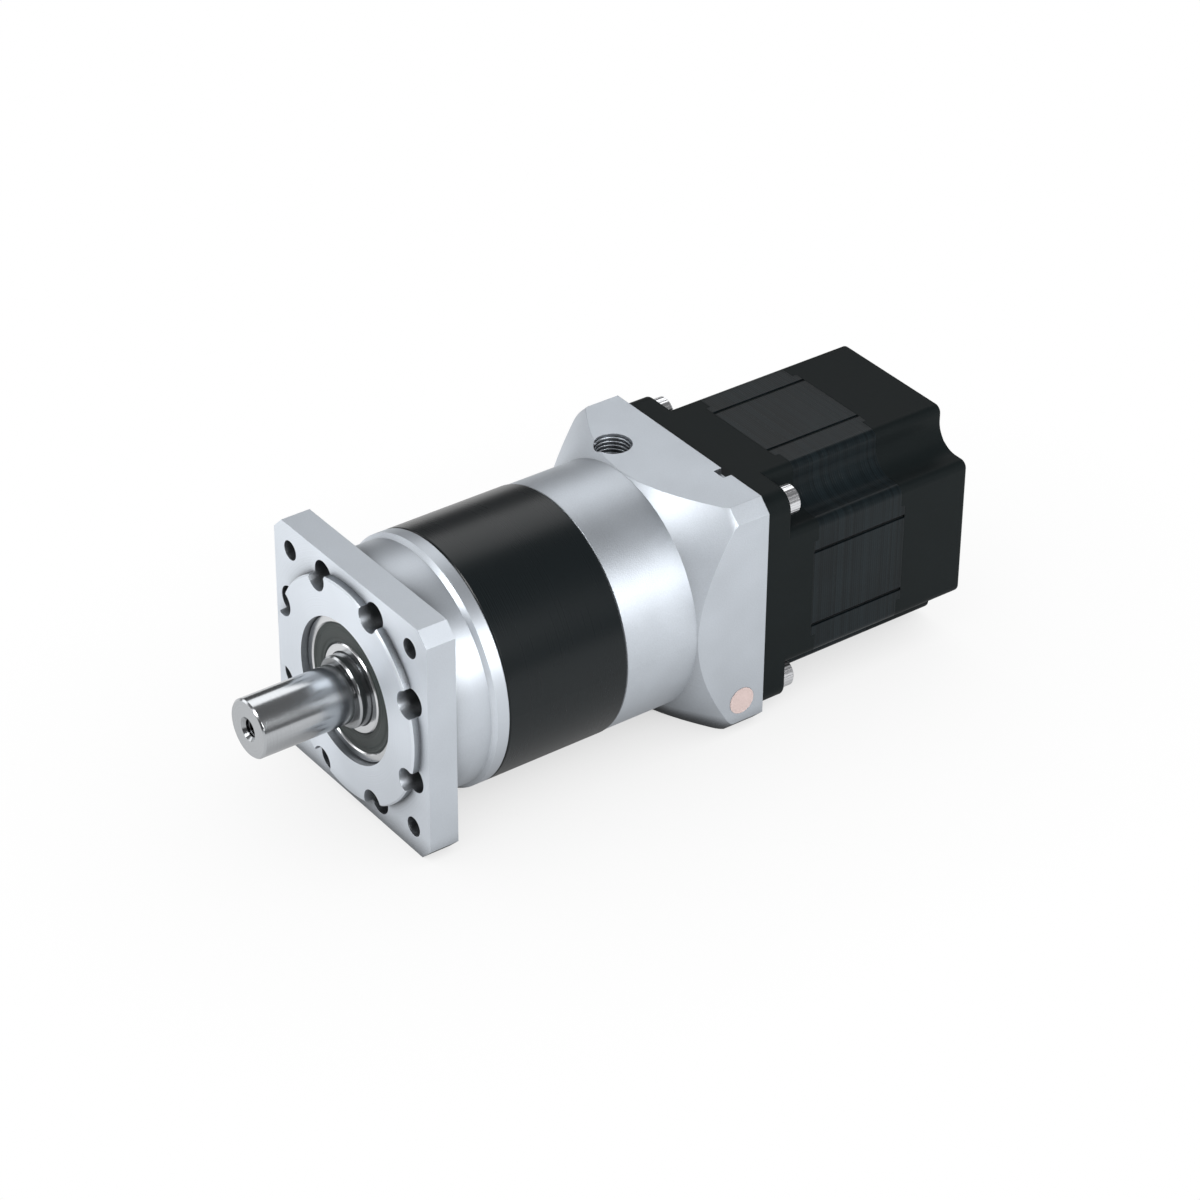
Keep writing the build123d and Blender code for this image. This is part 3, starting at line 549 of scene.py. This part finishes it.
@dataclass
class OutputShaft(SubAssembly):
    """The output shaft with its front bearing.

    Attributes:
        centre_thread: The thread of the hole in the shaft's end.
        seal_profile: The seal's moulded face, as radii and places along the shaft.
        seal_steps: How many flats the seal is drawn with round the shaft.
    """
    finishes: dict[str, Finish] = field(default_factory=lambda: {
        "output_shaft": GROUND_STEEL,
        **bearing("front"),
        "front_bearing_seals": RUBBER,
    })
    centre_thread: Thread = Thread(
        "centre_hole_thread", mouth=(0.0, -25.6, 0.0), inward=(0.0, 1.0, 0.0), radius=2.1,
        pitch=0.8, height=0.3, length=10.0)
    seal_profile: tuple[tuple[float, float], ...] = (
        (15.2, 0.3), (15.2, -0.05), (15.0, -0.12), (14.75, -0.1), (14.6, 0.02), (14.2, 0.02),
        (14.0, -0.14), (13.6, -0.2), (12.3, -0.2), (11.9, -0.14), (11.7, 0.02), (11.3, 0.02),
        (11.15, -0.1), (10.95, -0.1), (10.9, 0.0), (10.9, 0.3))
    seal_steps: int = 128

    def build(self) -> None:
        """Dress the nodes, tap the centre hole and mould the seal's face."""
        super().build()
        self.centre_thread.build(GROUND_STEEL, "output", "ground_steel")
        rows = []
        for k in range(self.seal_steps):
            angle = math.tau * k / self.seal_steps
            rows.append([Vector((r * math.cos(angle), y, r * math.sin(angle)))
                         for r, y in self.seal_profile])
        mesh = bmesh.new()
        strip(mesh, rows, ring=True)
        keep("front_seal_face", mesh, RUBBER, "housing")


@dataclass
class GearTrain(SubAssembly):
    """What turns inside the gearbox: carrier, planets, sun gear, clamp and inner bearings."""
    finishes: dict[str, Finish] = field(default_factory=lambda: {
        "carrier_plate": GEAR_STEEL,
        "planet_pins": BEARING_STEEL,
        "planet_washers": BRONZE,
        **{f"planet_gear_{k}": GEAR_STEEL for k in (1, 2, 3)},
        **{f"planet_bush_{k}": BRONZE for k in (1, 2, 3)},
        "sun_gear": GEAR_STEEL,
        "clamp_collar": BLACK_SCREW,
        "clamp_screw": BLACK_SCREW,
        "input_bearing_snap_ring": BLACK_SCREW,
        **bearing("rear"),
        **bearing("input"),
    })


@dataclass
class Motor(SubAssembly):
    """The stepper motor.

    Attributes:
        half: Half the motor's side.
        groove_x: How far the weld grooves stand from the middle of each side.
        groove_depth: How deep they are.
        stack: Where the laminations begin and end along the shaft.
        seam_radius: Half the width of a weld bead.
        seam_flatness: Its height as a share of its width.
        seam_lift: How far its middle stands above the groove's floor.
        ripple: From ripple to ripple along it.
        ripple_neck: Its size between two ripples, as a share.
        ripple_steps: How many sections draw one ripple.
        seam_sides: How many flats are round it.
    """
    finishes: dict[str, Finish] = field(default_factory=lambda: {
        "motor_front_cap": BLACK_CAST,
        "motor_rear_cap": BLACK_CAST,
        "stator_laminations": SHEET_STACK,
        "stator_windings": COPPER,
        "rotor_cup_front": GEAR_STEEL,
        "rotor_cup_rear": GEAR_STEEL,
        "rotor_magnet": MAGNET,
        "motor_shaft": GROUND_STEEL,
        **bearing("motor_front"),
        **bearing("motor_rear"),
        "wave_washer": BEARING_STEEL,
        "motor_mount_screws": PLATED_SCREW,
        "motor_tie_screws": BRIGHT_SCREW,
        "terminal_board": BOARD,
        "lead_grommet": RUBBER,
    })
    half: float = 28.1
    groove_x: float = 10.0
    groove_depth: float = 0.5
    stack: tuple[float, float] = (107.1, 133.7)
    seam_radius: float = 0.3
    seam_flatness: float = 0.9
    seam_lift: float = 0.1
    ripple: float = 1.2
    ripple_neck: float = 0.8
    ripple_steps: int = 3
    seam_sides: int = 6

    def build(self) -> None:
        """Dress the nodes and lay the weld seams."""
        super().build()
        mesh = bmesh.new()
        for side in range(4):
            for x in (-self.groove_x, self.groove_x):
                strip(mesh, self.seam(side, x))
        keep("stator_weld_seams", mesh, WELD, "housing")

    def seam(self, side: int, x: float) -> list[list[Vector]]:
        """The sections of one weld bead.

        Args:
            side: Which side of the motor, counted from the top.
            x: The seam's place across that side.

        Returns:
            A row of points for each section.
        """
        start, end = self.stack
        count = int((end - start) / self.ripple * self.ripple_steps)
        turn = Matrix.Rotation(math.pi / 2 * side, 3, "Y")
        middle = self.half - self.groove_depth + self.seam_lift
        rows = []
        for k in range(count + 1):
            y = start + (end - start) * k / count
            r = self.seam_radius * (1.0 if k % self.ripple_steps else self.ripple_neck)
            angles = [math.tau * n / self.seam_sides for n in range(self.seam_sides)]
            rows.append([turn @ Vector((x + r * math.cos(a), y,
                                        middle + self.seam_flatness * r * math.sin(a)))
                         for a in angles])
        return rows


@dataclass
class Camera:
    """The photograph's viewpoint, as fitted to the edges of the flange, adapter and motor.

    Attributes:
        azimuth: Where it stands, in degrees from -Y towards +X.
        elevation: How high it stands, in degrees.
        roll: How far it is turned about its own axis, in degrees.
        distance: From the target, in mm.
        target: The point that it looks at.
        focal_px: Its focal length, in pixels of the photograph.
        image_px: The photograph's width, in pixels.
        sensor: The width of its sensor.
        clip: The nearest and farthest that it sees, in metres.
    """
    azimuth: float = 53.526
    elevation: float = 33.597
    roll: float = 0.505
    distance: float = 902.67
    target: Point = (1.766, 66.251, -1.419)
    focal_px: float = 3964.61
    image_px: int = 1200
    sensor: float = 36.0
    clip: tuple[float, float] = (0.05, 20.0)

    def build(self) -> None:
        """Make the camera and hand it to the scene."""
        a, r = math.radians(self.azimuth), math.radians(self.roll)
        back = heading(self.azimuth, self.elevation)
        right = Vector((math.cos(a), math.sin(a), 0))
        up = back.cross(right)
        turned_right = right * math.cos(r) + up * math.sin(r)
        turned_up = up * math.cos(r) - right * math.sin(r)
        data = bpy.data.cameras.new("camera")
        data.sensor_width = self.sensor
        data.lens = self.focal_px / self.image_px * self.sensor
        data.clip_start, data.clip_end = self.clip
        camera = bpy.data.objects.new("camera", data)
        place = (Vector(self.target) + back * self.distance) * MM
        turn = Matrix((turned_right, turned_up, back)).transposed().to_4x4()
        camera.matrix_world = Matrix.Translation(place) @ turn
        bpy.context.collection.objects.link(camera)
        bpy.context.scene.camera = camera


@dataclass(frozen=True)
class Softbox:
    """A square lamp that faces the object.

    Attributes:
        name: What the lamp does.
        azimuth: Where it stands, in degrees, as the camera's azimuth is counted.
        elevation: How high it stands, in degrees.
        side: Its width, in mm.
        power: Its power, in watts.
        distance: How far from the object's middle, in mm.
    """
    name: str
    azimuth: float
    elevation: float
    side: float
    power: float
    distance: float = 1400.0

    def build(self, middle: Vector) -> None:
        """Make the lamp.

        Args:
            middle: The point that it faces, in metres.
        """
        out = heading(self.azimuth, self.elevation)
        data = bpy.data.lights.new(self.name, "AREA")
        data.size = self.side * MM
        data.energy = self.power
        lamp = bpy.data.objects.new(self.name, data)
        lamp.location = middle + out * self.distance * MM
        lamp.rotation_mode = "QUATERNION"
        lamp.rotation_quaternion = out.to_track_quat("Z", "Y")
        bpy.context.collection.objects.link(lamp)


@dataclass
class Studio:
    """A white floor and soft light.

    Attributes:
        floor_half: Half the floor's width.
        floor_z: Its height.
        middle: The point that the lamps face.
        paper: How white the floor is to the light that it throws back, from 0 to 1.
        horizon: The surround's strength, level with the object.
        zenith: Its strength overhead.
        shadow_reach: How far the object's shadow spreads.
        shadow_seen: How strong the shadow is to the camera.
        shadow_mirrored: How strong it is in the metal's reflections.
        shadow_samples: How many rays from a point look for the object over it.
        lamps: The softboxes, on the right, behind and in front on the left, and high in front.
    """
    floor_half: float = 3000.0
    floor_z: float = -30.0
    middle: Point = (0.0, 60.0, 0.0)
    paper: float = 0.85
    horizon: float = 0.1
    zenith: float = 0.2
    shadow_reach: float = 90.0
    shadow_seen: float = 0.15
    shadow_mirrored: float = 0.75
    shadow_samples: int = 16
    lamps: tuple[Softbox, ...] = (
        Softbox("key_on_the_right", azimuth=90.0, elevation=29.0, side=620.0, power=20.5),
        Softbox("rim_behind_left", azimuth=-130.0, elevation=45.0, side=760.0, power=3.4),
        Softbox("fill_front_left", azimuth=-47.0, elevation=4.0, side=1000.0, power=6.5),
        Softbox("high_in_front", azimuth=-5.0, elevation=38.0, side=400.0, power=8.5),
    )

    def build(self) -> None:
        """Make the floor, the surround and the lamps."""
        mesh = bpy.data.meshes.new("floor")
        h, z = self.floor_half * MM, self.floor_z * MM
        mesh.from_pydata([(-h, -h, z), (h, -h, z), (h, h, z), (-h, h, z)], [], [(0, 1, 2, 3)])
        mesh.materials.append(self.floor_material())
        floor = bpy.data.objects.new("floor", mesh)
        bpy.context.collection.objects.link(floor)
        for lamp in self.lamps:
            lamp.build(Vector(self.middle) * MM)
        self.build_world()
        bpy.context.scene.view_settings.view_transform = "Standard"

    def build_world(self) -> None:
        """Make a plain grey surround, lighter overhead than at the horizon."""
        world = bpy.data.worlds.new("studio")
        world.use_nodes = True
        tree = world.node_tree
        up = add_node(tree, "TexCoord").outputs["Generated"]
        height = add_node(tree, "SeparateXYZ", {0: up}).outputs["Z"]
        level = add_node(tree, "MapRange", {"Value": height, "To Min": self.horizon,
                                            "To Max": self.zenith})
        background = tree.nodes["Background"].inputs
        background["Color"].default_value = (1, 1, 1, 1)
        tree.links.new(level.outputs[0], background["Strength"])
        bpy.context.scene.world = world

    def floor_material(self) -> bpy.types.Material:
        """Make white paper that camera, metal and glass see white, with the object's shadow.

        Returns:
            The material.
        """
        made = bpy.data.materials.new("white_paper")
        made.use_nodes = True
        tree = made.node_tree
        tree.nodes.remove(tree.nodes["Principled BSDF"])
        paper = add_node(tree, "BsdfDiffuse", {"Color": (self.paper,) * 3 + (1,)})
        near = add_node(tree, "AmbientOcclusion", {"Distance": self.shadow_reach * MM},
                        samples=self.shadow_samples).outputs["AO"]
        mirrored = add_node(tree, "Math", {0: near, 1: self.shadow_mirrored}, operation="POWER")
        faint = add_node(tree, "Math", {0: near, 1: self.shadow_seen}, operation="POWER")
        ray = add_node(tree, "LightPath").outputs
        level = add_node(tree, "Mix", {0: ray["Is Camera Ray"], 2: mirrored, 3: faint},
                         data_type="FLOAT")
        white = add_node(tree, "Emission", {"Strength": level})
        seen = ray["Is Camera Ray"]
        for kind in ("Is Glossy Ray", "Is Transmission Ray"):
            seen = add_node(tree, "Math", {0: seen, 1: ray[kind]}, operation="MAXIMUM")
        mix = add_node(tree, "MixShader", {0: seen, 1: paper, 2: white})
        tree.links.new(mix.outputs[0], tree.nodes["Material Output"].inputs["Surface"])
        return made


def main() -> None:
    """Build the studio and the object."""
    logging.basicConfig(level=logging.INFO)
    Camera().build()
    Studio().build()
    for part in (Gearbox(), OutputShaft(), GearTrain(), Motor()):
        part.build()


if __name__ == "__main__":
    main()
